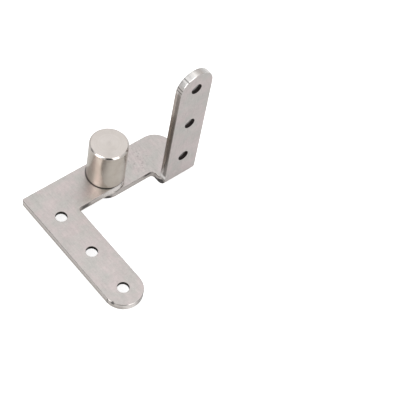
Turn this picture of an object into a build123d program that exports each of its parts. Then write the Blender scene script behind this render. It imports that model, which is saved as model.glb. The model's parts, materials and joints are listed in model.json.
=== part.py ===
from build123d import *
import os
from math import radians, tan

# Pivot hinge for the foot of a door, in millimetres.
# A folded jamb plate is screwed to the frame. A pin riveted into it stands up through
# an L-shaped door plate into a closed barrel, and the door plate turns on the pin.
# Frame: Z is the pivot axis, and the origin lies on it at the jamb plate's underside.
# +X runs from the pivot to the leg, and the leg's screwed face looks along -Y.

# Sheet that both plates are cut from
plate_thickness = 4.0
arm_width = 20.2
edge_break = 0.3

# Door plate, measured from the pivot axis
door_corner_reach = 44.5
door_arm_reach = 69.4
door_hole_spacing = 25.0
door_outer_corner_radius = 1.4
door_inner_corner_radius = 1.6

# Jamb plate, measured from the pivot axis and the underside
leg_edge_reach = 43.8
leg_face_offset = 19.4
leg_height = 81.8
leg_hole_spacing = 26.0
fold_inside_radius = 1.0
jamb_outer_corner_radius = 10.1
jamb_inner_corner_radius = 1.8

# Screw holes, the same in both plates
screw_hole_count = 3
screw_hole_diameter = 6.0
countersink_diameter = 10.0
countersink_angle = 90.0

# Barrel
barrel_diameter = 20.0
barrel_height = 24.5
barrel_rim_chamfer = 0.8
barrel_foot_chamfer = 0.6
barrel_cap_thickness = 3.0
barrel_spigot_wall = 1.5

# Pin, bush, ball and washer
pin_diameter = 10.0
pin_tip_chamfer = 0.8
pin_tenon_diameter = 8.0
pin_rivet_spread = 1.3
pin_running_clearance = 0.05
bush_wall = 1.0
bush_mouth_chamfer = 0.3
ball_diameter = 6.0
ball_seat_depth = 2.2
washer_thickness = 0.5
washer_diameter = 19.0
washer_bore_clearance = 0.2

# Levels and radii that follow from the sizes above
half_width = arm_width / 2
door_underside = plate_thickness + washer_thickness
door_top = door_underside + plate_thickness
barrel_top = door_top + barrel_height
bore_end = barrel_top - barrel_cap_thickness
ball_centre = bore_end - ball_diameter / 2
pin_tip = ball_centre - ball_diameter / 2 + ball_seat_depth
bush_inner_radius = pin_diameter / 2 + pin_running_clearance
bush_outer_radius = bush_inner_radius + bush_wall
spigot_radius = bush_outer_radius + barrel_spigot_wall

# Lines and points of the outlines
door_arm_axis = half_width - door_corner_reach
door_end_centre = half_width - door_arm_reach
leg_axis = leg_edge_reach - half_width
leg_inner_face = plate_thickness - leg_face_offset
leg_end_centre = leg_height - half_width
fold_start = leg_inner_face + fold_inside_radius
fold_axis_height = plate_thickness + fold_inside_radius


def bar(start, end):
    """Flat bar in its own plane, one width wide, from the point start to the point end."""
    middle = ((start[0] + end[0]) / 2, (start[1] + end[1]) / 2)
    size_x = abs(end[0] - start[0]) + arm_width * (start[0] == end[0])
    size_y = abs(end[1] - start[1]) + arm_width * (start[1] == end[1])
    return Pos(*middle) * Rectangle(size_x, size_y)


def round_end(centre):
    """Disc that rounds the end of a bar over its full width."""
    return Pos(*centre) * Circle(half_width)


def corner_at(sketch, x, y):
    """Vertex of a sketch that lies nearest to a point."""
    return sketch.vertices().sort_by_distance((x, y, 0))[0]


def rim(faces):
    """Edges round the outside of a sheet's faces, without the lines where faces run on."""
    outlines = [edge for face in faces for edge in face.outer_wire().edges()]
    return [edge for edge in outlines if sum(edge.is_same(other) for other in outlines) == 1]


def screw_hole():
    """Tool for one screw hole: its countersink opens at the origin, towards +Z."""
    head_radius = countersink_diameter / 2
    hole_radius = screw_hole_diameter / 2
    cone_depth = (head_radius - hole_radius) / tan(radians(countersink_angle / 2))
    cone = Pos(0, 0, -cone_depth / 2) * Cone(hole_radius, head_radius, cone_depth)
    shank = Pos(0, 0, -plate_thickness / 2) * Cylinder(hole_radius, plate_thickness)
    return cone + shank


def hole_steps(spacing):
    """Distances from the end hole to each hole of a row, towards the pivot."""
    return [index * spacing for index in range(screw_hole_count)]


def make_door_plate():
    """L-shaped plate under the door: it carries the barrel at the end of its short arm."""
    outline = bar((-door_corner_reach, 0), (0, 0)) + round_end((0, 0))
    outline += bar((door_arm_axis, half_width), (door_arm_axis, door_end_centre))
    outline += round_end((door_arm_axis, door_end_centre))
    outer = corner_at(outline, -door_corner_reach, half_width)
    outline = fillet(outer, door_outer_corner_radius)
    inner = corner_at(outline, door_arm_axis + half_width, -half_width)
    outline = fillet(inner, door_inner_corner_radius)
    plate = Pos(0, 0, door_underside) * extrude(outline, plate_thickness)
    plate = chamfer(rim(plate.faces().filter_by(Axis.Z)), edge_break)
    plate -= Pos(0, 0, door_underside + plate_thickness / 2) * Cylinder(spigot_radius, plate_thickness)
    for step in hole_steps(door_hole_spacing):
        seat = Pos(door_arm_axis, door_end_centre + step, door_underside)
        plate -= seat * Rot(180, 0, 0) * screw_hole()
    return plate


def jamb_flat():
    """Flat part of the jamb plate: the arm, rounded at both ends, and the tab to the fold."""
    arm = bar((0, 0), (leg_edge_reach, 0)) + round_end((0, 0))
    far_corner = corner_at(arm, leg_edge_reach, half_width)
    arm = fillet(far_corner, jamb_outer_corner_radius)
    arm += bar((leg_axis, 0), (leg_axis, fold_start))
    notch = corner_at(arm, leg_axis - half_width, -half_width)
    return extrude(fillet(notch, jamb_inner_corner_radius), plate_thickness)


def jamb_leg():
    """Quarter-turn fold and the leg that stands on it, rounded at its top."""
    outside_radius = fold_inside_radius + plate_thickness
    fold_axis = (fold_start, fold_axis_height)
    ring = Circle(outside_radius) - Circle(fold_inside_radius)
    quarter = Pos(-outside_radius / 2, -outside_radius / 2) * Rectangle(outside_radius, outside_radius)
    upright = leg_height - fold_axis_height
    leg_middle = (leg_inner_face - plate_thickness / 2, fold_axis_height + upright / 2)
    profile = Pos(*fold_axis) * (ring & quarter)
    profile += Pos(*leg_middle) * Rectangle(plate_thickness, upright)
    strip = extrude(Plane.YZ.offset(leg_axis - half_width) * profile, arm_width)
    front = bar((leg_axis, 0), (leg_axis, leg_end_centre)) + round_end((leg_axis, leg_end_centre))
    shape = extrude(Plane.XZ * front, 2 * leg_face_offset, both=True)
    return strip & shape


def is_sheet_face(face):
    """True for the rolled faces of the folded sheet and false for its cut edges."""
    if face.geom_type == GeomType.PLANE:
        return abs(face.normal_at().X) < 0.5 and face.area > arm_width * plate_thickness * 2
    bend_radii = (fold_inside_radius, fold_inside_radius + plate_thickness)
    lies_along_fold = abs(face.axis_of_rotation.direction.X) > 0.5
    return lies_along_fold and min(abs(face.radius - radius) for radius in bend_radii) < 0.001


def make_jamb_plate():
    """Folded plate on the frame: arm, tab, fold and leg are one sheet."""
    plate = jamb_flat() + jamb_leg()
    plate = chamfer(rim(plate.faces().filter_by(is_sheet_face)), edge_break)
    for step in hole_steps(leg_hole_spacing):
        seat = Pos(leg_axis, leg_inner_face, leg_end_centre - step)
        plate -= seat * Rot(-90, 0, 0) * screw_hole()
    plate -= pin_tenon()
    return plate


def turned(points):
    """Solid turned about the pivot axis from the radius and height of each point."""
    outline = make_face(Polyline(*[(radius, 0, height) for radius, height in points], close=True))
    return revolve(outline, Axis.Z)


def pin_tenon():
    """Lower end of the pin, spread into a countersink until it is flush with the plate."""
    tenon_radius = pin_tenon_diameter / 2
    return turned(
        [
            (0, 0),
            (tenon_radius + pin_rivet_spread, 0),
            (tenon_radius, pin_rivet_spread),
            (tenon_radius, plate_thickness),
            (0, plate_thickness),
        ]
    )


def make_pivot_pin():
    """Shouldered pin with a cup for the ball in its tip."""
    pin_radius = pin_diameter / 2
    shaft = turned(
        [
            (0, plate_thickness),
            (pin_radius, plate_thickness),
            (pin_radius, pin_tip - pin_tip_chamfer),
            (pin_radius - pin_tip_chamfer, pin_tip),
            (0, pin_tip),
        ]
    )
    return shaft + pin_tenon() - make_thrust_ball()


def make_thrust_ball():
    """Ball that carries the door's weight between the pin and the barrel."""
    return Pos(0, 0, ball_centre) * Sphere(ball_diameter / 2)


def make_thrust_washer():
    """Washer that keeps the two plates apart and sets the gap between them."""
    ring = Circle(washer_diameter / 2) - Circle(pin_diameter / 2 + washer_bore_clearance)
    return Pos(0, 0, plate_thickness) * extrude(ring, washer_thickness)


def make_barrel():
    """Closed barrel with chamfered rims, whose spigot is pressed into the door plate."""
    radius = barrel_diameter / 2
    return turned(
        [
            (bush_outer_radius, door_underside),
            (spigot_radius, door_underside),
            (spigot_radius, door_top),
            (radius - barrel_foot_chamfer, door_top),
            (radius, door_top + barrel_foot_chamfer),
            (radius, barrel_top - barrel_rim_chamfer),
            (radius - barrel_rim_chamfer, barrel_top),
            (0, barrel_top),
            (0, bore_end),
            (bush_outer_radius, bore_end),
        ]
    )


def make_barrel_bush():
    """Plain bush pressed into the barrel, from the door plate's underside to the pin's tip."""
    return turned(
        [
            (bush_inner_radius + bush_mouth_chamfer, door_underside),
            (bush_outer_radius, door_underside),
            (bush_outer_radius, pin_tip),
            (bush_inner_radius, pin_tip),
            (bush_inner_radius, door_underside + bush_mouth_chamfer),
        ]
    )


def main():
    """Build every piece and write one file for each."""
    pieces = {
        "jamb_plate": make_jamb_plate(),
        "pivot_pin": make_pivot_pin(),
        "thrust_washer": make_thrust_washer(),
        "thrust_ball": make_thrust_ball(),
        "door_plate": make_door_plate(),
        "barrel": make_barrel(),
        "barrel_bush": make_barrel_bush(),
    }
    os.makedirs("parts", exist_ok=True)
    for name, piece in pieces.items():
        export_step(piece, f"parts/{name}.step")


main()
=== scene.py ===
import json
import logging
import math
from contextlib import contextmanager
from dataclasses import dataclass, field
from enum import Enum
from typing import Any, Callable, Iterator

import bmesh
import bpy
from mathutils import Euler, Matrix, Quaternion, Vector


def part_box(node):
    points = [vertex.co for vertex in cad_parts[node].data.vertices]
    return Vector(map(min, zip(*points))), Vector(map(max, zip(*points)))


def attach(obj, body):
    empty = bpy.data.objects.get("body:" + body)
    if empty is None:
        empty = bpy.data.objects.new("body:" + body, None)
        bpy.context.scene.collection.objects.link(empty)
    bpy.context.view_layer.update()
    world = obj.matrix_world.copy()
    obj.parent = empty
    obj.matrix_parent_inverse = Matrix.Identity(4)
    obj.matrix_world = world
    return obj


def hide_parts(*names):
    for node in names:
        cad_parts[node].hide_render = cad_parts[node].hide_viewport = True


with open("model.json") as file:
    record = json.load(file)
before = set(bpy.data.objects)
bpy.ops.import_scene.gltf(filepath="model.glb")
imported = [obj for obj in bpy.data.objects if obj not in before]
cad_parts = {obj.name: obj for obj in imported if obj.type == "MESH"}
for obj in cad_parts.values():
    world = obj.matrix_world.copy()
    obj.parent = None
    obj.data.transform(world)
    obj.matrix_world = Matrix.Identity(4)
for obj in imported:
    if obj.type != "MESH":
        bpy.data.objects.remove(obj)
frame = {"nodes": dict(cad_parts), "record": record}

# Pivot hinge for the foot of a door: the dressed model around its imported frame, in metres.
# Z is the pivot axis, the jamb plate's underside lies at height zero, and the leg stands
# towards +X with its screwed face to -Y.

MM = 0.001
UP = Vector((0, 0, 1))
QUARTER_TURN = math.pi / 2
SMALL = 0.01 * MM
FLAT_MAP = "flat_pattern"
DEPTH_LAYER = "sheet_depth"

log = logging.getLogger("pivot_hinge")


class Part(Enum):
    """What an edit-mode selection is made of."""

    FACES = "FACE"
    EDGES = "EDGE"


class Workpiece:
    """One mesh on the bench, shaped by edit-mode operators and finished with modifiers."""

    def __init__(self, name: str) -> None:
        """Take the primitive that was just added, with its size and place in its mesh.

        Args:
            name: name of the piece.
        """
        self.piece = bpy.context.object
        self.piece.name = name
        self.piece.data.name = name
        bpy.ops.object.transform_apply(location=True, rotation=True, scale=True)

    @classmethod
    def block(cls, name: str, low: Vector, high: Vector) -> "Workpiece":
        """Start from a block of bar stock.

        Args:
            name: name of the piece.
            low: lowest corner.
            high: highest corner.

        Returns:
            The new workpiece.
        """
        clear_selection()
        bpy.ops.mesh.primitive_cube_add(size=1, location=(low + high) / 2, scale=high - low)
        return cls(name)

    @classmethod
    def rod(cls, name: str, radius: float, low: float, high: float, sides: int) -> "Workpiece":
        """Start from a length of round rod that stands on the pivot axis.

        Args:
            name: name of the piece.
            radius: radius of the rod.
            low: height of its lower end.
            high: height of its upper end.
            sides: number of flats round the rod.

        Returns:
            The new workpiece.
        """
        clear_selection()
        middle = (0, 0, (low + high) / 2)
        bpy.ops.mesh.primitive_cylinder_add(
            vertices=sides, radius=radius, depth=high - low, location=middle
        )
        return cls(name)

    @contextmanager
    def editing(self) -> Iterator[None]:
        """Keep the piece alone in edit mode while the block runs."""
        clear_selection()
        self.piece.select_set(True)
        bpy.context.view_layer.objects.active = self.piece
        bpy.ops.object.mode_set(mode="EDIT")
        yield
        bpy.ops.object.mode_set(mode="OBJECT")

    def pick(self, part: Part, rule: Callable[[Any], bool]) -> None:
        """Select the faces or edges that a rule accepts, and stop if there are none.

        Args:
            part: what is selected.
            rule: test of one face or edge.
        """
        bpy.ops.mesh.select_mode(type=part.value)
        bpy.ops.mesh.select_all(action="DESELECT")
        mesh = bmesh.from_edit_mesh(self.piece.data)
        mesh.normal_update()
        everything = mesh.faces if part is Part.FACES else mesh.edges
        chosen = [each for each in everything if rule(each)]
        if not chosen:
            raise ValueError(f"{self.piece.name}: nothing to select")
        for each in chosen:
            each.select_set(True)
        mesh.select_flush_mode()
        bmesh.update_edit_mesh(self.piece.data)

    def split(self, point: Vector, across: Vector) -> None:
        """Cut every face where a plane passes, and keep both sides.

        Args:
            point: a point of the plane.
            across: direction square to the plane.
        """
        with self.editing():
            bpy.ops.mesh.select_all(action="SELECT")
            bpy.ops.mesh.bisect(plane_co=point, plane_no=across)

    def pull(self, rule: Callable[[Any], bool], by: Vector) -> None:
        """Extrude faces straight out or in.

        Args:
            rule: test of a face.
            by: how far and which way.
        """
        with self.editing():
            self.pick(Part.FACES, rule)
            bpy.ops.mesh.extrude_region_move(TRANSFORM_OT_translate={"value": by})

    def inset(self, rule: Callable[[Any], bool], margin: float, sink: float = 0.0) -> None:
        """Step faces in from their rim.

        Args:
            rule: test of a face.
            margin: width of the step.
            sink: how deep the inner face drops.
        """
        with self.editing():
            self.pick(Part.FACES, rule)
            bpy.ops.mesh.inset(thickness=margin, depth=-sink)

    def fold(self, rule: Callable[[Any], bool], line: Vector, steps: int) -> None:
        """Carry a face a quarter turn round a line along X, so that it ends facing up.

        Args:
            rule: test of the face.
            line: a point of the fold's line.
            steps: number of steps in the quarter turn.
        """
        with self.editing():
            self.pick(Part.FACES, rule)
            bpy.ops.mesh.spin(steps=steps, angle=QUARTER_TURN, center=line, axis=(1, 0, 0))

    def merge_flats(self) -> None:
        """Join faces that lie in one plane, and face everything outwards."""
        with self.editing():
            bpy.ops.mesh.select_all(action="SELECT")
            bpy.ops.mesh.remove_doubles(threshold=SMALL)
            bpy.ops.mesh.dissolve_limited(angle_limit=math.radians(0.5))
            bpy.ops.mesh.select_all(action="SELECT")
            bpy.ops.mesh.normals_make_consistent(inside=False)

    def round_edges(self, rule: Callable[[Any], bool], radius: float, steps: int) -> None:
        """Round edges, or chamfer them where there is one step.

        Args:
            rule: test of an edge.
            radius: how far back the rounding starts.
            steps: number of faces across it.
        """
        with self.editing():
            self.pick(Part.EDGES, rule)
            bpy.ops.mesh.bevel(offset=radius, segments=steps, profile=0.5, affect="EDGES")

    def modify(self, kind: str, **settings: Any) -> None:
        """Add one modifier and apply it.

        Args:
            kind: type of the modifier.
            settings: values of its properties.
        """
        clear_selection()
        self.piece.select_set(True)
        bpy.context.view_layer.objects.active = self.piece
        bpy.ops.object.modifier_add(type=kind)
        modifier = self.piece.modifiers[-1]
        for name, value in settings.items():
            setattr(modifier, name, value)
        bpy.ops.object.modifier_apply(modifier=modifier.name)

    def cut(self, tool: "Workpiece") -> None:
        """Take the tool's shape out of the piece, and throw the tool away.

        Args:
            tool: closed shape that is removed.
        """
        self.modify("BOOLEAN", operation="DIFFERENCE", solver="MANIFOLD", object=tool.piece)
        bpy.data.objects.remove(tool.piece)

    def smooth(self, angle: float = 28.0) -> None:
        """Shade the roundings softly and keep the flats flat.

        Args:
            angle: corners sharper than this, in degrees, stay sharp.
        """
        clear_selection()
        self.piece.select_set(True)
        bpy.context.view_layer.objects.active = self.piece
        bpy.ops.object.shade_smooth_by_angle(angle=math.radians(angle))
        self.modify("WEIGHTED_NORMAL", keep_sharp=True)


def clear_selection() -> None:
    """Leave edit mode and deselect everything."""
    if bpy.context.mode != "OBJECT":
        bpy.ops.object.mode_set(mode="OBJECT")
    bpy.ops.object.select_all(action="DESELECT")


def faces_towards(direction: Vector, near: Callable[[Vector], bool]) -> Callable[[Any], bool]:
    """Rule for faces that look one way and whose centre passes a test.

    Args:
        direction: the way the faces look.
        near: test of a face's centre.

    Returns:
        The rule.
    """
    return lambda face: face.normal.dot(direction) > 0.99 and near(face.calc_center_median())


def edges_through(corner: Vector, along: Vector) -> Callable[[Any], bool]:
    """Rule for straight edges on the line through a corner.

    Args:
        corner: a point of the line.
        along: unit direction of the line.

    Returns:
        The rule.
    """

    def on_line(point: Vector) -> bool:
        offset = point - corner
        return (offset - along * offset.dot(along)).length < SMALL

    return lambda edge: all(on_line(vertex.co) for vertex in edge.verts)


def sharp_edges(edge: Any) -> bool:
    """Accept the edges where a sheet's face meets its cut side."""
    return edge.calc_face_angle(0) > math.radians(60)


def ring_edges(centre: Vector, axis: Vector, radius: float) -> Callable[[Any], bool]:
    """Rule for the edges of one circle.

    Args:
        centre: centre of the circle.
        axis: unit direction square to it.
        radius: its radius.

    Returns:
        The rule.
    """

    def on_ring(point: Vector) -> bool:
        offset = point - centre
        height = offset.dot(axis)
        spread = (offset - axis * height).length
        return abs(height) < SMALL and abs(spread - radius) < 2 * SMALL

    return lambda edge: all(on_ring(vertex.co) for vertex in edge.verts)


class Value:
    """Output socket of a shader graph, which takes part in Python arithmetic."""

    def __init__(self, graph: "Graph", socket: bpy.types.NodeSocket) -> None:
        """Wrap a socket.

        Args:
            graph: graph that the socket belongs to.
            socket: the output socket.
        """
        self.graph = graph
        self.socket = socket

    def maths(self, operation: str, *others: Any, clamp: bool = False) -> "Value":
        """Add one Math node.

        Args:
            operation: what the node does.
            others: its other inputs.
            clamp: whether the result stays between 0 and 1.

        Returns:
            The node's output.
        """
        inputs = dict(enumerate((self, *others)))
        return self.graph.add("Math", {"operation": operation, "use_clamp": clamp}, inputs)

    def __add__(self, other: Any) -> "Value":
        """Sum."""
        return self.maths("ADD", other)

    def __radd__(self, other: Any) -> "Value":
        """Sum with a number on the left."""
        return self.maths("ADD", other)

    def __sub__(self, other: Any) -> "Value":
        """Difference."""
        return self.maths("SUBTRACT", other)

    def __rsub__(self, other: Any) -> "Value":
        """Difference from a number on the left."""
        return self * -1 + other

    def __mul__(self, other: Any) -> "Value":
        """Product."""
        return self.maths("MULTIPLY", other)

    def __rmul__(self, other: Any) -> "Value":
        """Product with a number on the left."""
        return self.maths("MULTIPLY", other)

    def __truediv__(self, other: Any) -> "Value":
        """Quotient."""
        return self.maths("DIVIDE", other)

    def __pow__(self, other: Any) -> "Value":
        """Power."""
        return self.maths("POWER", other)

    def size(self) -> "Value":
        """Absolute value."""
        return self.maths("ABSOLUTE")

    def length(self) -> "Value":
        """Length of a vector."""
        return self.graph.add("VectorMath", {"operation": "LENGTH"}, {0: self}, "Value")

    def step(self, start: float, end: float) -> "Value":
        """Soft step from 0 at start to 1 at end."""
        limits = {"From Min": start, "From Max": end, "Value": self}
        return self.graph.add("MapRange", {"interpolation_type": "SMOOTHSTEP"}, limits)


class Graph:
    """Node tree of one finish or of the studio, built from expressions."""

    def __init__(self, owner: Any) -> None:
        """Clear the owner's node tree.

        Args:
            owner: a material or a world.
        """
        owner.use_nodes = True
        self.tree = owner.node_tree
        self.tree.nodes.clear()

    def add(self, kind: str, settings: dict, inputs: dict, output: Any = 0) -> Value:
        """Add one node, set it up and feed it.

        Args:
            kind: the node's type, without its common prefix.
            settings: values of its properties.
            inputs: value or link of each socket, by name or number.
            output: name or number of the socket that is returned.

        Returns:
            The chosen output, or an empty value for a node that has none.
        """
        node = self.tree.nodes.new(f"ShaderNode{kind}")
        for name, value in settings.items():
            setattr(node, name, value)
        for name, value in inputs.items():
            socket = node.inputs[name]
            if isinstance(value, Value):
                self.tree.links.new(value.socket, socket)
            else:
                socket.default_value = value
        return Value(self, node.outputs[output] if len(node.outputs) else None)

    def place(self) -> Value:
        """Object coordinates in millimetres."""
        metres = self.add("TexCoord", {}, {}, "Object")
        return self.scaled(metres, (1 / MM,) * 3)

    def flat(self) -> Value:
        """Place on the sheet's flat pattern, in millimetres."""
        return self.add("UVMap", {"uv_map": FLAT_MAP}, {})

    def layer(self, name: str) -> Value:
        """Number that the mesh carries under a name."""
        return self.add("Attribute", {"attribute_name": name}, {}, "Fac")

    def scaled(self, vector: Value, factors: tuple) -> Value:
        """Vector with each part multiplied."""
        return self.add("VectorMath", {"operation": "MULTIPLY"}, {0: vector, 1: factors})

    def spot(self, vector: Value, centre: tuple, core: float, edge: float) -> Value:
        """Soft round spot.

        Args:
            vector: where it is read.
            centre: middle of the spot.
            core: radius inside which the spot is full.
            edge: radius where it has faded out.

        Returns:
            Strength of the spot, between 0 and 1.
        """
        inputs = {0: vector, 1: (*centre, 0.0)}
        away = self.add("VectorMath", {"operation": "DISTANCE"}, inputs, "Value")
        return 1 - away.step(core, edge)

    def parts(self, vector: Value) -> tuple[Value, Value, Value]:
        """Three parts of a vector."""
        node = self.add("SeparateXYZ", {}, {0: vector}).socket.node
        return tuple(Value(self, socket) for socket in node.outputs)

    def joined(self, x: Any, y: Any, z: Any = 0.0) -> Value:
        """Vector from three parts."""
        return self.add("CombineXYZ", {}, {0: x, 1: y, 2: z})

    def noise(self, vector: Value, scale: float, detail: float = 2.0, rough: float = 0.5) -> Value:
        """Noise between 0 and 1.

        Args:
            vector: where it is read.
            scale: waves per unit of the vector.
            detail: number of finer layers.
            rough: how strong the finer layers are.

        Returns:
            The noise.
        """
        inputs = {"Vector": vector, "Scale": scale, "Detail": detail, "Roughness": rough}
        return self.add("TexNoise", {}, inputs)

    def mixed(self, share: Any, first: Any, second: Any) -> Value:
        """Colour between two colours.

        Args:
            share: how much of the second.
            first: colour where the share is 0.
            second: colour where the share is 1.

        Returns:
            The mixed colour.
        """
        inputs = {"Factor": share, 6: first, 7: second}
        return self.add("Mix", {"data_type": "RGBA"}, inputs, 2)

    def shaded(self, colour: Value, level: Value) -> Value:
        """Colour made darker or lighter by a number."""
        return self.add("VectorMath", {"operation": "SCALE"}, {0: colour, "Scale": level})

    def bump(self, height: Value, depth: float, strength: float) -> Value:
        """Normal bent by a height.

        Args:
            height: height between 0 and 1.
            depth: how far a height of 1 stands out, in metres.
            strength: share of the bend that is used.

        Returns:
            The bent normal.
        """
        return self.add("Bump", {}, {"Height": height, "Distance": depth, "Strength": strength})

    def metal(self, colour: Any, rough: Any, normal: Value, grain: float = 0.0) -> None:
        """Finish the graph with bare metal.

        Args:
            colour: base colour.
            rough: roughness.
            normal: surface normal.
            grain: how far the highlight is drawn out across a turned surface.
        """
        inputs = {
            "Base Color": colour,
            "Metallic": 1.0,
            "Roughness": rough,
            "Normal": normal,
            "Anisotropic": grain,
        }
        shader = self.add("BsdfPrincipled", {}, inputs)
        self.add("OutputMaterial", {}, {"Surface": shader})


def rgba(red: float, green: float, blue: float) -> tuple[float, float, float, float]:
    """Opaque colour."""
    return (red, green, blue, 1.0)


@dataclass(frozen=True)
class SatinSheet:
    """Rolled and tumbled stainless sheet, with faint clouds, grain, handling marks and painted
    shade round the barrel's foot.
    """

    name: str
    warm: tuple = rgba(0.62, 0.55, 0.54)
    cool: tuple = rgba(0.555, 0.535, 0.511)
    roughness: float = 0.34
    scuff: tuple = (0.0, 0.0, 0.0)
    nicks: tuple = ()
    foot_shade_radius: float = 0.0
    drift: tuple = (0.0, 0.0, 0.0)

    def build(self) -> bpy.types.Material:
        """Make the material."""
        material = bpy.data.materials.new(self.name)
        graph = Graph(material)
        flat = graph.flat()
        shifted = graph.add("VectorMath", {"operation": "ADD"}, {0: flat, 1: self.drift})
        cloud = graph.noise(shifted, 0.11, 3.0, 0.6)
        mottle = graph.noise(flat, 0.5, 3.0, 0.65)
        speckle = graph.noise(flat, 1.1, 3.0, 0.7)
        grain = graph.noise(graph.scaled(flat, (1.6, 0.12, 1.0)), 1.0, 3.0, 0.6)
        score = graph.noise(graph.scaled(flat, (2.1, 0.05, 1.0)), 1.0, 1.0).step(0.64, 0.72)
        patch = graph.noise(flat, 0.16, 1.0).step(0.42, 0.60)
        lines = score * patch
        rubbed = self.rubbed(graph, flat)
        dirt_and_shade = self.grime_and_foot_shade(graph, flat)
        colour = graph.mixed(cloud.step(0.32, 0.68), self.warm, self.cool)
        level = 0.96 + (mottle - 0.5) * 0.26 + (speckle - 0.5) * 0.28 + (grain - 0.5) * 0.24
        level = level + (graph.noise(flat, 0.07, 2.0) - 0.5) * 0.16
        # The last factor darkens the colour with dirt in the nicks and with painted shade round
        # the barrel's foot.
        colour = graph.shaded(colour, (level - lines * 0.10 - rubbed * 0.26) * (1 - dirt_and_shade))
        rough = self.roughness + (cloud - 0.5) * 0.12 + (mottle - 0.5) * 0.10 + rubbed * 0.10
        height = speckle * 0.5 + grain * 0.45 + mottle * 0.4 - lines * 0.4 - rubbed * 0.4
        graph.metal(colour, rough, graph.bump(height, 0.016 * MM, 0.6))
        return material

    def grime_and_foot_shade(self, graph: Graph, flat: Value) -> Value:
        """Dark dirt in the nicks of the rim, and painted shade in the corner round the barrel's
        foot.

        Args:
            graph: graph of the material.
            flat: place on the flat pattern.

        Returns:
            Share of the colour that the dirt and the painted shade take away.
        """
        dirt_and_shade = flat.length() * 0.0
        for centre in self.nicks:
            dirt_and_shade = dirt_and_shade.maths("MAXIMUM", graph.spot(flat, centre, 0.35, 0.95) * 0.75)
        # Painted shade: a dark ring round the barrel's foot, where barrel and plate meet.
        if self.foot_shade_radius:
            off_foot_ring = (flat.length() - self.foot_shade_radius).size()
            dirt_and_shade = dirt_and_shade.maths("MAXIMUM", (1 - off_foot_ring.step(0.2, 0.75)) * 0.72)
        return dirt_and_shade

    def rubbed(self, graph: Graph, flat: Value) -> Value:
        """Crossed scuffs round one place of the flat pattern.

        Args:
            graph: graph of the material.
            flat: place on the flat pattern.

        Returns:
            Strength of the scuffs.
        """
        across, along, _ = graph.parts(flat)
        centre_x, centre_y, reach = self.scuff
        if not reach:
            return across * 0.0
        near = graph.spot(flat, (centre_x, centre_y), 0.3 * reach, reach)
        slant = graph.joined(across * 0.98 - along * 0.21, (across * 0.21 + along * 0.98) * 0.25)
        hatch = graph.noise(slant, 1.1, 2.0).step(0.42, 0.66)
        counter = graph.joined(across * 0.4 + along * 0.9, (across - along) * 0.45)
        ticks = graph.noise(counter, 1.1, 1.0).step(0.61, 0.68)
        return (hatch * 0.4).maths("MAXIMUM", ticks) * near


@dataclass(frozen=True)
class DarkMark:
    """Dark patch on a cut side of a sheet, mostly painted shade where the side lies in shade."""

    place: tuple
    reach: float
    depth: float
    strength: float = 0.66


@dataclass(frozen=True)
class CutEdge:
    """Cut side of the sheet: a torn band by one face, clean metal above it and a darker rim, with
    dark tool marks, painted shade and painted highlights.
    """

    name: str
    bright: tuple = rgba(0.62, 0.575, 0.545)
    torn: tuple = rgba(0.36, 0.325, 0.30)
    highlight_colour: tuple = rgba(0.90, 0.88, 0.86)
    torn_from: float = 1000.0
    torn_to: float = -1000.0
    nicks: tuple = ()
    dark_marks: tuple = ()
    painted_highlights: tuple = ()

    def build(self) -> bpy.types.Material:
        """Make the material."""
        material = bpy.data.materials.new(self.name)
        graph = Graph(material)
        flat = graph.flat()
        depth = graph.layer(DEPTH_LAYER)
        steps = graph.noise(flat, 1.7, 3.0, 0.7)
        waves = graph.noise(flat, 0.35, 2.0)
        band = 1 - (depth + (waves - 0.5) * 0.25 + (steps - 0.5) * 0.12).step(0.42, 0.62)
        _, along, _ = graph.parts(flat)
        band = band * (1 - along.step(self.torn_from - 6.0, self.torn_from))
        band = band * along.step(self.torn_to, self.torn_to + 4.0)
        fine = graph.noise(graph.place(), 3.0, 2.0, 0.6)
        scar = flat.length() * 0.0
        for centre in self.nicks:
            scar = scar.maths("MAXIMUM", graph.spot(flat, centre, 0.15, 0.50))
        dark = scar * 0.6
        # Painted shade: dark patches on the cut side where it lies in shade.
        for dark_mark in self.dark_marks:
            near = graph.spot(flat, dark_mark.place, 0.2 * dark_mark.reach, dark_mark.reach)
            off_level = (depth + (steps - 0.5) * 0.2 - dark_mark.depth).size()
            stain = near * (1 - off_level.step(0.22, 0.45)) * (dark_mark.strength + steps * 0.3)
            dark = dark.maths("MAXIMUM", stain)
        colour = graph.mixed(band * 0.9, self.bright, self.torn)
        # Painted highlights: bright patches of a pale colour that stand in for glints on the rim.
        for centre_x, centre_y, reach in self.painted_highlights:
            highlight_share = graph.spot(flat, (centre_x, centre_y), 0.2 * reach, reach)
            colour = graph.mixed(highlight_share * (0.65 + waves * 0.5), colour, self.highlight_colour)
        corner = depth.step(0.76, 0.94) * (waves.step(0.35, 0.65) * 0.18 + 0.10)
        level = (0.80 + steps * 0.26 + fine * 0.12) * (1 - corner)
        colour = graph.shaded(colour, level * (1 - dark))
        rough = 0.17 + band * 0.12 + (steps - 0.5) * 0.12
        height = steps * 0.8 + fine * band * 0.6 - scar * 2.0
        graph.metal(colour, rough, graph.bump(height, 0.03 * MM, 0.6))
        return material


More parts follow.
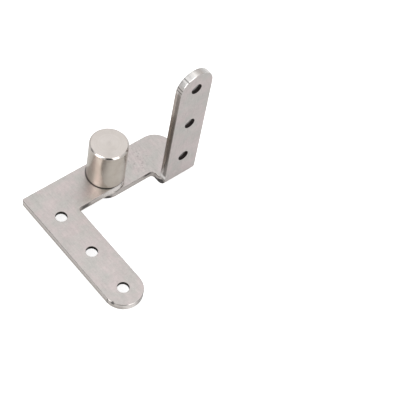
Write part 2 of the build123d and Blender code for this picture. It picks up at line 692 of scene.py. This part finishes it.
@dataclass(frozen=True)
class DrilledMetal:
    """Metal left by a drill or a countersink, with rings that follow the tool, stains, and painted
    shade that can darken its throat.
    """

    name: str
    clean: tuple
    stained_and_shaded: tuple
    roughness: float
    ring_pitch: float
    shaded_throat_radius: float = 0.0

    def build(self) -> bpy.types.Material:
        """Make the material."""
        material = bpy.data.materials.new(self.name)
        graph = Graph(material)
        spread, depth, _ = graph.parts(graph.flat())
        rings = graph.noise(graph.joined(spread + depth, 0.0), 1 / self.ring_pitch, 2.0, 0.6)
        stain = graph.noise(graph.place(), 0.6, 3.0, 0.6)
        share = stain.step(0.3, 0.8)
        # Painted shade: the colour goes dark towards the throat of the countersink.
        if self.shaded_throat_radius:
            inwards = 1 - spread.step(self.shaded_throat_radius, self.shaded_throat_radius + 0.5)
            share = share.maths("MULTIPLY", 0.5).maths("MAXIMUM", inwards)
        colour = graph.shaded(graph.mixed(share, self.clean, self.stained_and_shaded), 0.92 + rings * 0.14)
        rough = self.roughness + (rings - 0.5) * 0.10 + (stain - 0.5) * 0.12
        graph.metal(colour, rough, graph.bump(rings, 0.02 * MM, 0.5))
        return material


@dataclass(frozen=True)
class TurnedBar:
    """Bar finished on a lathe: fine rings round the axis, a faced end and handling marks."""

    name: str
    light: tuple = rgba(0.60, 0.545, 0.495)
    dark: tuple = rgba(0.52, 0.465, 0.415)
    roughness: float = 0.27
    ring_pitch: float = 0.35
    drawn_out: float = 0.6
    mark_radius: float = 2.2

    def build(self) -> bpy.types.Material:
        """Make the material."""
        material = bpy.data.materials.new(self.name)
        graph = Graph(material)
        place = graph.place()
        across, along, height = graph.parts(place)
        spread = (across**2 + along**2) ** 0.5
        track = graph.joined(spread, height)
        rings = graph.noise(track, 1 / self.ring_pitch, 3.0, 0.6)
        bands = graph.noise(track, 0.3 / self.ring_pitch, 1.0)
        cloud = graph.noise(place, 0.16, 3.0, 0.6)
        speckle = graph.noise(place, 2.2, 2.0, 0.6)
        mark = 1 - (spread + (cloud - 0.5) * 2.0).step(0.1 * self.mark_radius, self.mark_radius)
        colour = graph.mixed(cloud.step(0.3, 0.7), self.light, self.dark)
        level = 0.95 + (rings - 0.5) * 0.10 + (bands - 0.5) * 0.06 + (speckle - 0.5) * 0.07
        colour = graph.shaded(colour, level - mark * 0.05)
        rough = self.roughness + (rings - 0.5) * 0.10 + (cloud - 0.5) * 0.10 + mark * 0.08
        height = rings * 0.7 + speckle * 0.25
        graph.metal(colour, rough, graph.bump(height, 0.008 * MM, 0.5), self.drawn_out)
        return material


class DoorSheet:
    """Flat pattern of the door plate, which lies as it was cut."""

    def __init__(self, underside: float) -> None:
        """Keep the plate's lowest level.

        Args:
            underside: height of the plate's underside.
        """
        self.underside = underside

    def lay(self, point: Vector) -> tuple[float, float, float, Vector]:
        """Place of a point on the flat pattern.

        Args:
            point: point of the plate.

        Returns:
            Two places on the pattern, the depth from the lower face and the way through.
        """
        return point.x, point.y, point.z - self.underside, UP


class FoldedSheet:
    """Flat pattern of the jamb plate: the fold and the leg are rolled out along -Y."""

    def __init__(self, fold_line: Vector, inside: float, thickness: float) -> None:
        """Keep the fold's line and radii.

        Args:
            fold_line: a point of the line that the fold turns about.
            inside: radius of its inner face.
            thickness: thickness of the sheet.
        """
        self.fold_line = fold_line
        self.outside = inside + thickness
        self.neutral = inside + thickness / 2

    def lay(self, point: Vector) -> tuple[float, float, float, Vector]:
        """Place of a point on the flat pattern.

        Args:
            point: point of the plate.

        Returns:
            Two places on the pattern, the depth from the outer face and the way through.
        """
        offset = point - self.fold_line
        if offset.y >= 0:
            return point.x, point.y, offset.z + self.outside, UP
        arc = self.neutral * QUARTER_TURN
        if offset.z >= 0:
            developed = self.fold_line.y - arc - offset.z
            return point.x, developed, offset.y + self.outside, Vector((0, 1, 0))
        turned = math.atan2(-offset.y, -offset.z)
        spread = math.hypot(offset.y, offset.z)
        inwards = Vector((0, -offset.y, -offset.z)).normalized()
        return point.x, self.fold_line.y - self.neutral * turned, self.outside - spread, inwards


@dataclass(frozen=True)
class ScrewHole:
    """One screw hole: a plain wall, then a countersink that opens on one face of the sheet."""

    mouth: Vector
    out: Vector
    radius: float
    head_radius: float
    thickness: float

    def cutter(self) -> Workpiece:
        """Shape that the hole takes out of the sheet.

        Returns:
            The closed cutter, a little longer than the sheet is thick.
        """
        spare = 1.0 * MM
        tool = Workpiece.rod("screw_hole_cutter", self.radius, -self.thickness - spare, 0.0, 64)
        cone = self.head_radius - self.radius
        tool.pull(faces_towards(UP, lambda centre: True), UP * spare)
        with tool.editing():
            tool.pick(Part.FACES, faces_towards(UP, lambda centre: True))
            wide = (self.head_radius + spare) / self.radius
            bpy.ops.transform.resize(value=(wide, wide, 1.0), center_override=(0.0, 0.0, 0.0))
        with tool.editing():
            tool.pick(Part.EDGES, ring_edges(Vector(), UP, self.radius))
            bpy.ops.transform.translate(value=(0.0, 0.0, -cone))
        turn = UP.rotation_difference(self.out)
        tool.piece.matrix_world = turn.to_matrix().to_4x4()
        tool.piece.location = self.mouth
        clear_selection()
        tool.piece.select_set(True)
        bpy.context.view_layer.objects.active = tool.piece
        bpy.ops.object.transform_apply(location=True, rotation=True, scale=True)
        return tool

    def offset(self, point: Vector) -> tuple[float, float]:
        """Distance from the hole's axis and depth under its mouth.

        Args:
            point: point of the sheet.

        Returns:
            The distance and the depth.
        """
        away = point - self.mouth
        height = away.dot(self.out)
        return (away - self.out * height).length, -height

    def break_rims(self, sheet: Workpiece, radius: float) -> None:
        """Round the hole's rims on both faces of the sheet.

        Args:
            sheet: the drilled sheet.
            radius: radius of the rounding.
        """
        back = self.mouth - self.out * self.thickness
        sheet.round_edges(ring_edges(self.mouth, self.out, self.head_radius), radius, 2)
        sheet.round_edges(ring_edges(back, self.out, self.radius), radius, 2)


@dataclass
class SheetFinishes:
    """Finishes of the drilled holes, which the two plates share; their near-black colours are
    painted shade.
    """

    # Countersink: bright cone, stains, and painted shade darkening its throat.
    seat: bpy.types.Material = field(
        default_factory=lambda: DrilledMetal(
            "countersink_shaded_throat", rgba(0.66, 0.62, 0.59), rgba(0.07, 0.06, 0.056), 0.22, 0.22, 3.95
        ).build()
    )
    # Hole wall: near-black colours that are painted shade inside the holes.
    painted_shade_wall: bpy.types.Material = field(
        default_factory=lambda: DrilledMetal(
            "hole_wall_painted_shade", rgba(0.048, 0.040, 0.038), rgba(0.026, 0.022, 0.021), 0.42, 0.30
        ).build()
    )


def rim_places(across: float, along: float, radius: float, bearings: tuple) -> tuple:
    """Places on the round end of a flat pattern, in millimetres.

    Args:
        across: first place of the end's centre, in metres.
        along: second place of the end's centre.
        radius: radius of the end.
        bearings: direction of each place from the centre, in degrees.

    Returns:
        The places.
    """
    turns = [math.radians(bearing) for bearing in bearings]
    return tuple(
        ((across + radius * math.cos(turn)) / MM, (along + radius * math.sin(turn)) / MM)
        for turn in turns
    )


def dress_sheet(
    sheet: Workpiece,
    pattern: Any,
    thickness: float,
    holes: list[ScrewHole],
    face: bpy.types.Material,
    cut: bpy.types.Material,
    shared: SheetFinishes,
) -> None:
    """Give each face of a plate its finish and its place on the flat pattern.

    Args:
        sheet: the plate.
        pattern: flat pattern that lays its points out.
        thickness: thickness of the sheet.
        holes: its screw holes.
        face: finish of the rolled faces.
        cut: finish of the cut sides.
        shared: finishes of the holes.
    """
    mesh = sheet.piece.data
    mesh.materials.clear()
    for material in (face, cut, shared.seat, shared.painted_shade_wall):
        mesh.materials.append(material)
    mesh.uv_layers.new(name=FLAT_MAP)
    mesh.attributes.new(DEPTH_LAYER, "FLOAT", "CORNER")
    flat_map = mesh.uv_layers[FLAT_MAP]
    depths = mesh.attributes[DEPTH_LAYER]
    for polygon in mesh.polygons:
        centre = polygon.center
        through = pattern.lay(centre)[3]
        facing = abs(polygon.normal.dot(through))
        bore = next((hole for hole in holes if hole.offset(centre)[0] < hole.head_radius), None)
        if bore and facing < 0.9:
            polygon.material_index = 2 if facing > 0.3 else 3
        else:
            bore = None
            polygon.material_index = 0 if facing > 0.94 else 1
        for loop in polygon.loop_indices:
            point = mesh.vertices[mesh.loops[loop].vertex_index].co
            across, along, depth, _ = pattern.lay(point)
            if bore:
                across, along = bore.offset(point)
            flat_map.data[loop].uv = (across / MM, along / MM)
            depths.data[loop].value = depth / thickness


@dataclass
class DoorLeaf:
    """Moving side: the L-shaped door plate and the barrel that stands on it."""

    outer_corner: float = 1.4 * MM
    inner_corner: float = 1.6 * MM
    rim: float = 0.45 * MM
    hole_rim: float = 0.12 * MM
    head_radius: float = 5.0 * MM
    spigot_wall: float = 1.5 * MM
    cap_chamfer: float = 0.8 * MM
    foot_chamfer: float = 0.6 * MM
    crisp: float = 0.09 * MM
    dimple_radius: float = 1.5 * MM
    dimple_depth: float = 0.015 * MM
    barrel_sides: int = 128

    def __post_init__(self) -> None:
        """Read the CAD sizes."""
        self.low, self.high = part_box("door_plate")
        self.barrel_low, self.barrel_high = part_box("barrel")
        self.bush_low, self.bush_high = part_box("barrel_bush")
        self.ball_low, self.ball_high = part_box("thrust_ball")
        self.thickness = self.high.z - self.low.z
        self.half_width = self.high.y
        self.arm_axis = self.low.x + self.half_width
        self.spigot_radius = self.bush_high.x + self.spigot_wall
        mounts = {mount["name"]: mount for mount in frame["record"]["mounts"]}
        row = mounts["door_screws"]
        middle = Vector(row["pos_m"])
        spacing = row["dims"]["spacing_y_mm"] * MM / 2
        self.holes = [
            ScrewHole(
                Vector((middle.x, middle.y + step * spacing, self.low.z)),
                -UP,
                row["dims"]["hole_r_mm"] * MM,
                self.head_radius,
                self.thickness,
            )
            for step in (-1, 0, 1)
        ]

    def make_plate(self) -> Workpiece:
        """Shape the door plate.

        Returns:
            The plate.
        """
        inner_x = self.arm_axis + self.half_width
        short_arm_low = Vector((self.low.x, -self.half_width, self.low.z))
        plate = Workpiece.block("door_plate_sheet", short_arm_low, self.high)
        plate.split(Vector((inner_x, 0, 0)), Vector((1, 0, 0)))
        under_corner = faces_towards(Vector((0, -1, 0)), lambda centre: centre.x < inner_x)
        plate.pull(under_corner, Vector((0, self.low.y + self.half_width, 0)))
        plate.merge_flats()
        end_radius = self.half_width - SMALL / 5
        for x, y in ((self.low.x, self.low.y), (inner_x, self.low.y)):
            plate.round_edges(edges_through(Vector((x, y, 0)), UP), end_radius, 24)
        for y in (-self.half_width, self.half_width):
            plate.round_edges(edges_through(Vector((self.high.x, y, 0)), UP), end_radius, 24)
        outer = Vector((self.low.x, self.half_width, 0))
        plate.round_edges(edges_through(outer, UP), self.outer_corner, 6)
        inner = Vector((inner_x, -self.half_width, 0))
        plate.round_edges(edges_through(inner, UP), self.inner_corner, 8)
        plate.round_edges(sharp_edges, self.rim, 3)
        clear = 1.5 * self.inner_corner
        plate.split(inner + Vector((clear, 0, 0)), Vector((1, 0, 0)))
        plate.split(inner - Vector((0, clear, 0)), Vector((0, 1, 0)))
        for above, below in zip(self.holes[1:], self.holes):
            plate.split((above.mouth + below.mouth) / 2, Vector((0, 1, 0)))
        margin = 1.0 * MM
        bore = Workpiece.rod(
            "bore_cutter", self.spigot_radius, self.low.z - margin, self.high.z + margin, 96
        )
        plate.cut(bore)
        for hole in self.holes:
            plate.cut(hole.cutter())
            hole.break_rims(plate, self.hole_rim)
        plate.smooth()
        return plate

    def make_barrel(self) -> Workpiece:
        """Turn the closed barrel with its spigot and bore.

        Returns:
            The barrel.
        """
        radius = self.barrel_high.x
        barrel = Workpiece.rod(
            "barrel_turned", radius, self.high.z, self.barrel_high.z, self.barrel_sides
        )
        bottom = faces_towards(-UP, lambda centre: centre.xy.length < MM)
        barrel.inset(bottom, radius - self.spigot_radius)
        barrel.pull(bottom, Vector((0, 0, self.barrel_low.z - self.high.z)))
        barrel.inset(bottom, self.spigot_wall)
        barrel.pull(bottom, Vector((0, 0, self.ball_high.z - self.barrel_low.z)))
        foot = ring_edges(Vector((0, 0, self.high.z)), UP, radius)
        barrel.round_edges(foot, self.foot_chamfer, 1)
        rim = ring_edges(Vector((0, 0, self.barrel_high.z)), UP, radius)
        barrel.round_edges(rim, self.cap_chamfer, 1)
        top = self.barrel_high.z
        cap_radius = radius - self.cap_chamfer
        for level, ring in ((top, cap_radius), (top - self.cap_chamfer, radius)):
            edge = ring_edges(Vector((0, 0, level)), UP, ring)
            barrel.round_edges(edge, self.crisp, 2)
        cap = faces_towards(UP, lambda centre: centre.z > top - SMALL)
        barrel.inset(cap, cap_radius - 2 * self.dimple_radius)
        cap_middle = faces_towards(
            UP, lambda centre: centre.z > top - SMALL and centre.xy.length < SMALL
        )
        barrel.inset(cap_middle, self.dimple_radius)
        barrel.inset(cap_middle, self.dimple_radius * 0.7, self.dimple_depth)
        barrel.smooth(34.0)
        return barrel

    def build(self, shared: SheetFinishes) -> None:
        """Make and dress both pieces, and set them on the moving body.

        Args:
            shared: finishes that the two plates share.
        """
        plate = self.make_plate()
        centre = self.low.y + self.half_width
        dents = rim_places(self.arm_axis, centre, self.half_width, (202.0,))
        lines = rim_places(self.arm_axis, centre, self.half_width, (184.0, 330.0))
        lines += rim_places(0.0, 0.0, self.half_width, (287.0, 297.0, 312.0))
        # Painted shade on the cut side: beside the inner corner and on the far side of the arm's
        # tip; one more dark mark sits at the dent.
        shaded_far_side = rim_places(self.arm_axis, centre, self.half_width, (290.0, 306.0))
        dark_marks = (
            DarkMark((self.arm_axis / MM + 14.4, -self.half_width / MM), 4.4, 0.6),
            DarkMark(dents[0], 1.5, 0.95),
            DarkMark(shaded_far_side[0], 5.0, 0.6, 0.22),
            DarkMark(shaded_far_side[1], 5.0, 0.6, 0.22),
        )
        face = SatinSheet(
            "door_sheet_satin",
            roughness=0.36,
            nicks=dents,
            # Painted shade in a ring round the barrel's foot.
            foot_shade_radius=self.barrel_high.x / MM,
            drift=(0.0, 70.0, 0.0),
        )
        # Painted highlights on the cut side: on the arm's tip and along the front edge.
        tip_glint = rim_places(self.arm_axis, centre, self.half_width, (256.0,))[0]
        cut = CutEdge(
            "door_cut_edge",
            bright=rgba(0.60, 0.56, 0.53),
            torn=rgba(0.46, 0.42, 0.39),
            highlight_colour=rgba(0.82, 0.78, 0.75),
            nicks=lines,
            dark_marks=dark_marks,
            painted_highlights=((*tip_glint, 6.0), (-1.0, -self.half_width / MM, 12.0)),
        ).build()
        pattern = DoorSheet(self.low.z)
        dress_sheet(plate, pattern, self.thickness, self.holes, face.build(), cut, shared)
        settle(plate.piece, "door", "door_plate")
        barrel = self.make_barrel()
        self.dress_barrel(barrel.piece.data)
        settle(barrel.piece, "door", "barrel")

    def dress_barrel(self, mesh: bpy.types.Mesh) -> None:
        """Give the barrel its turned finish, with a darker copy of its colour on the side as
        painted shade and a lighter copy on the chamfers and the faced end as painted light.

        Args:
            mesh: the barrel's mesh.
        """
        mesh.materials.clear()
        # Painted light: the chamfers and the faced end get a lighter copy of the side's colour.
        light, dark = rgba(0.72, 0.67, 0.635), rgba(0.67, 0.62, 0.58)
        for finish in (
            TurnedBar(
                "barrel_side_turned_painted_shade",
                rgba(0.57, 0.520, 0.462),
                rgba(0.50, 0.442, 0.385),
                roughness=0.21,
                drawn_out=0.0,
            ),
            TurnedBar("barrel_chamfer_polished_painted_light", light, dark, roughness=0.14, drawn_out=0.0),
            TurnedBar("barrel_end_faced_painted_light", light, dark, roughness=0.36, drawn_out=0.3),
        ):
            mesh.materials.append(finish.build())
        for polygon in mesh.polygons:
            sloped = 0.2 < abs(polygon.normal.z) < 0.95
            outside = polygon.center.xy.length > self.barrel_high.x - self.cap_chamfer
            on_end = polygon.normal.z > 0.95
            polygon.material_index = 1 if sloped and outside else 2 * on_end


@dataclass
class JambLeaf:
    """Fixed side: the folded jamb plate that carries the pin."""

    fold_inside: float = 1.0 * MM
    inner_corner: float = 1.8 * MM
    rim: float = 0.45 * MM
    hole_rim: float = 0.12 * MM
    head_radius: float = 5.0 * MM
    tenon_radius: float = 4.0 * MM
    rivet_spread: float = 1.3 * MM
    fold_steps: int = 14

    def __post_init__(self) -> None:
        """Read the CAD sizes."""
        self.low, self.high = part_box("jamb_plate")
        self.washer_low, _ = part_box("thrust_washer")
        self.thickness = self.washer_low.z
        self.half_width = self.high.y
        self.leg_axis = self.high.x - self.half_width
        self.fold_line = Vector(
            (
                self.leg_axis,
                self.low.y + self.thickness + self.fold_inside,
                self.thickness + self.fold_inside,
            )
        )
        mounts = {mount["name"]: mount for mount in frame["record"]["mounts"]}
        row = mounts["leg_screws"]
        middle = Vector(row["pos_m"])
        spacing = row["dims"]["spacing_y_mm"] * MM / 2
        inner_face = self.low.y + self.thickness
        self.holes = [
            ScrewHole(
                Vector((middle.x, inner_face, middle.z + step * spacing)),
                Vector((0, 1, 0)),
                row["dims"]["hole_r_mm"] * MM,
                self.head_radius,
                self.thickness,
            )
            for step in (-1, 0, 1)
        ]

    def make_plate(self) -> Workpiece:
        """Shape the jamb plate: arm, tab, fold and leg from one sheet.

        Returns:
            The plate.
        """
        inner_x = self.leg_axis - self.half_width
        arm_low = Vector((self.low.x, -self.half_width, 0))
        arm_high = Vector((self.high.x, self.half_width, self.thickness))
        plate = Workpiece.block("jamb_plate_folded", arm_low, arm_high)
        plate.split(Vector((inner_x, 0, 0)), Vector((1, 0, 0)))
        front = Vector((0, -1, 0))
        plate.pull(
            faces_towards(front, lambda centre: centre.x > inner_x),
            Vector((0, self.fold_line.y + self.half_width, 0)),
        )
        tab_end = faces_towards(front, lambda centre: centre.y < self.fold_line.y + SMALL)
        plate.fold(tab_end, self.fold_line, self.fold_steps)
        leg_foot = faces_towards(UP, lambda centre: centre.y < self.fold_line.y - self.fold_inside)
        plate.pull(leg_foot, Vector((0, 0, self.high.z - self.fold_line.z)))
        plate.merge_flats()
        end_radius = self.half_width - SMALL / 5
        for y in (-self.half_width, self.half_width):
            plate.round_edges(edges_through(Vector((self.low.x, y, 0)), UP), end_radius, 24)
        far = Vector((self.high.x, self.half_width, 0))
        plate.round_edges(edges_through(far, UP), end_radius, 24)
        notch = Vector((inner_x, -self.half_width, 0))
        plate.round_edges(edges_through(notch, UP), self.inner_corner, 8)
        for x in (inner_x, self.high.x):
            top = edges_through(Vector((x, 0, self.high.z)), Vector((0, 1, 0)))
            plate.round_edges(top, end_radius, 24)
        plate.round_edges(sharp_edges, self.rim, 3)
        clear = 2 * self.inner_corner
        plate.split(Vector((inner_x - clear, 0, 0)), Vector((1, 0, 0)))
        plate.split(Vector((0, self.fold_line.y + MM, 0)), Vector((0, 1, 0)))
        plate.split(Vector((0, 0, self.fold_line.z + MM)), UP)
        for above, below in zip(self.holes[1:], self.holes):
            plate.split((above.mouth + below.mouth) / 2, UP)
        plate.cut(self.tenon_cutter())
        for hole in self.holes:
            plate.cut(hole.cutter())
            hole.break_rims(plate, self.hole_rim)
        plate.smooth()
        return plate

    def tenon_cutter(self) -> Workpiece:
        """Shape of the pin's seat in the arm, wider at the underside.

        Returns:
            The closed cutter.
        """
        spare = 1.0 * MM
        cutter = Workpiece.rod(
            "tenon_cutter", self.tenon_radius, self.rivet_spread, self.thickness + spare, 64
        )
        bottom = faces_towards(-UP, lambda centre: True)
        cutter.pull(bottom, Vector((0, 0, -self.rivet_spread - spare)))
        with cutter.editing():
            cutter.pick(Part.FACES, bottom)
            wide = (self.tenon_radius + self.rivet_spread + spare) / self.tenon_radius
            bpy.ops.transform.resize(value=(wide, wide, 1.0), center_override=(0.0, 0.0, 0.0))
        return cutter

    def build(self, shared: SheetFinishes) -> None:
        """Make and dress the plate, and set it on the fixed body.

        Args:
            shared: finishes that the two plates share.
        """
        plate = self.make_plate()
        pattern = FoldedSheet(self.fold_line, self.fold_inside, self.thickness)
        top = Vector((self.leg_axis, self.low.y, self.high.z - self.half_width))
        across, along, _, _ = pattern.lay(top)
        lines = rim_places(across, along, self.half_width, (194.0, 203.0, 233.0))
        end = rim_places(0.0, 0.0, self.half_width, (245.0,))[0]
        notch_x = (self.leg_axis - self.half_width) / MM
        # Painted shade on the cut side: on the round end under the door plate, beside the notch
        # and down the fold.
        dark_marks = (
            DarkMark(end, 2.8, 0.25),
            DarkMark((notch_x - 3.6, -self.half_width / MM), 3.6, 0.95),
            DarkMark((notch_x, -13.2), 2.2, 0.1),
            DarkMark((notch_x, -15.4), 2.2, 0.1),
            DarkMark((notch_x, -17.4), 2.0, 0.1),
        )
        # Painted highlights: glints on the leg's end and a bright spot at the foot of the fold.
        glints = rim_places(across, along, self.half_width, (226.0, 248.0, 302.0))
        face = SatinSheet("jamb_sheet_satin", scuff=(20.0, 0.5, 12.0)).build()
        # The torn band is the cut's fracture zone; its dark colour is also painted shade on the
        # leg's side.
        cut = CutEdge(
            "jamb_cut_edge",
            bright=rgba(0.57, 0.53, 0.505),
            torn=rgba(0.24, 0.22, 0.205),
            torn_from=-self.half_width / MM,
            torn_to=along / MM - 4.0,
            nicks=lines,
            dark_marks=dark_marks,
            painted_highlights=(
                (*glints[0], 4.4), (*glints[1], 5.2), (*glints[2], 3.6), (notch_x, -21.6, 1.8)
            ),
        ).build()
        dress_sheet(plate, pattern, self.thickness, self.holes, face, cut, shared)
        settle(plate.piece, "jamb", "jamb_plate")


@dataclass
class Bearing:
    """Pin, washer, ball and bush: CAD nodes that keep their shape and get their finish."""

    def build(self) -> None:
        """Give each node its finish."""
        steel = TurnedBar(
            "pin_turned_steel", rgba(0.52, 0.505, 0.49), rgba(0.44, 0.43, 0.42), 0.24, 0.25
        )
        ball = TurnedBar(
            "ball_polished_steel", rgba(0.72, 0.72, 0.72), rgba(0.66, 0.66, 0.67), 0.10, 1.5, 0.0
        )
        washer = TurnedBar(
            "washer_dull_brass", rgba(0.46, 0.36, 0.18), rgba(0.30, 0.23, 0.12), 0.42, 0.6, 0.2
        )
        bush = TurnedBar(
            "bush_bored_brass", rgba(0.60, 0.48, 0.25), rgba(0.48, 0.37, 0.18), 0.30, 0.3, 0.3
        )
        finishes = {
            "pivot_pin": steel,
            "thrust_ball": ball,
            "thrust_washer": washer,
            "barrel_bush": bush,
        }
        for node, finish in finishes.items():
            material = finish.build()
            for slot in frame["nodes"][node].material_slots:
                slot.material = material
            log.info("%s keeps its shape and gets %s", node, material.name)


def settle(piece: bpy.types.Object, body: str, node: str) -> None:
    """Set a finished piece on its body in place of its CAD node.

    Args:
        piece: the finished piece.
        body: body that it moves with.
        node: CAD node that it stands for.
    """
    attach(piece, body)
    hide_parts(node)
    log.info("%s: %d faces, on body %s", piece.name, len(piece.data.polygons), body)


@dataclass
class Studio:
    """Pale floor, soft light from all round with a box on either side, and the camera."""

    eye: Vector = field(default_factory=lambda: Vector((-0.28205, -0.30033, 0.55333)))
    turn_deg: tuple = (35.649, -8.028, -39.834)
    lens: float = 115.99
    sensor: float = 36.0
    floor_drop: float = 0.15 * MM
    floor_size: float = 6.0
    floor_colour: tuple = rgba(0.66, 0.66, 0.66)
    lift: float = 0.78
    mirrored_lift: float = 0.12
    sky: tuple = rgba(1.0, 1.0, 1.0)

    def place_camera(self) -> None:
        """Stand the camera where the photograph was taken from."""
        data = bpy.data.cameras.new("photo_camera")
        data.sensor_width = self.sensor
        data.lens = self.lens
        data.clip_start = 0.01
        data.clip_end = 50.0
        camera = bpy.data.objects.new("photo_camera", data)
        camera.location = self.eye
        camera.rotation_euler = Euler([math.radians(angle) for angle in self.turn_deg])
        bpy.context.scene.collection.objects.link(camera)
        bpy.context.scene.camera = camera

    def lay_floor(self) -> None:
        """Lay the floor, which the camera sees as white with the object's soft shadow."""
        clear_selection()
        bpy.ops.mesh.primitive_plane_add(size=self.floor_size, location=(0, 0, -self.floor_drop))
        floor = bpy.context.object
        floor.name = "studio_floor"
        material = bpy.data.materials.new("floor_pale")
        graph = Graph(material)
        paper = graph.add("BsdfDiffuse", {}, {"Color": self.floor_colour})
        seen = graph.add("LightPath", {}, {}, "Is Camera Ray")
        mirrored = graph.add("LightPath", {}, {}, "Is Glossy Ray")
        through = graph.add("LightPath", {}, {}, "Is Transmission Ray")
        strength = seen * self.lift + (mirrored + through) * self.mirrored_lift
        glow = graph.add("Emission", {}, {"Color": self.sky, "Strength": strength})
        both = graph.add("AddShader", {}, {0: paper, 1: glow})
        graph.add("OutputMaterial", {}, {"Surface": both})
        floor.data.materials.append(material)

    def hang_boxes(self) -> None:
        """Hang the two soft boxes, one on either side of the camera."""
        boxes = (
            ("left_box", (-0.811, -0.028, 0.681), 0.50, 0.84, 2.6, -14.0),
            ("right_box", (0.05, -0.84, 0.66), 0.50, 0.70, 1.5, 0.0),
        )
        for name, place, width, height, radiance, lean in boxes:
            light = bpy.data.lights.new(name, "AREA")
            light.shape = "RECTANGLE"
            light.size = width
            light.size_y = height
            light.energy = radiance * math.pi * width * height
            lamp = bpy.data.objects.new(name, light)
            lamp.location = place
            facing = (-Vector(place)).to_track_quat("-Z", "Y")
            lamp.rotation_euler = (facing @ Quaternion(UP, math.radians(lean))).to_euler()
            lamp.visible_camera = False
            bpy.context.scene.collection.objects.link(lamp)

    def fill_room(self) -> None:
        """Fill the room with soft light, brighter overhead and dark behind the camera."""
        world = bpy.data.worlds.new("studio_room")
        bpy.context.scene.world = world
        graph = Graph(world)
        look = graph.add("TexCoord", {}, {}, "Generated")
        x, y, z = graph.parts(look)
        height = z.step(-0.1, 0.9)
        overhead = (x * 0.10 + z * 0.995).step(0.80, 0.92)
        behind_eye = (x * -0.472 + y * -0.702 + z * 0.53).step(0.93, 0.98)
        back_left = (x * -0.095 + y * 0.585 + z * 0.805).step(0.93, 0.98)
        low_left = (x * -0.720 + y * 0.604 + z * 0.342).step(0.972, 0.99)
        level = 0.60 + height * 0.36 + overhead * 0.34 - behind_eye * 0.80 - back_left * 0.30
        level = level - low_left * 0.45
        glow = graph.add("Background", {}, {"Color": self.sky, "Strength": level})
        graph.add("OutputWorld", {}, {"Surface": glow})

    def build(self) -> None:
        """Set up the studio."""
        self.place_camera()
        self.lay_floor()
        self.hang_boxes()
        self.fill_room()
        bpy.context.scene.view_settings.view_transform = "Standard"


def main() -> None:
    logging.basicConfig(level=logging.INFO, format="%(name)s: %(message)s")
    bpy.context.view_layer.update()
    shared = SheetFinishes()
    JambLeaf().build(shared)
    DoorLeaf().build(shared)
    Bearing().build()
    Studio().build()


if __name__ == "__main__":
    main()
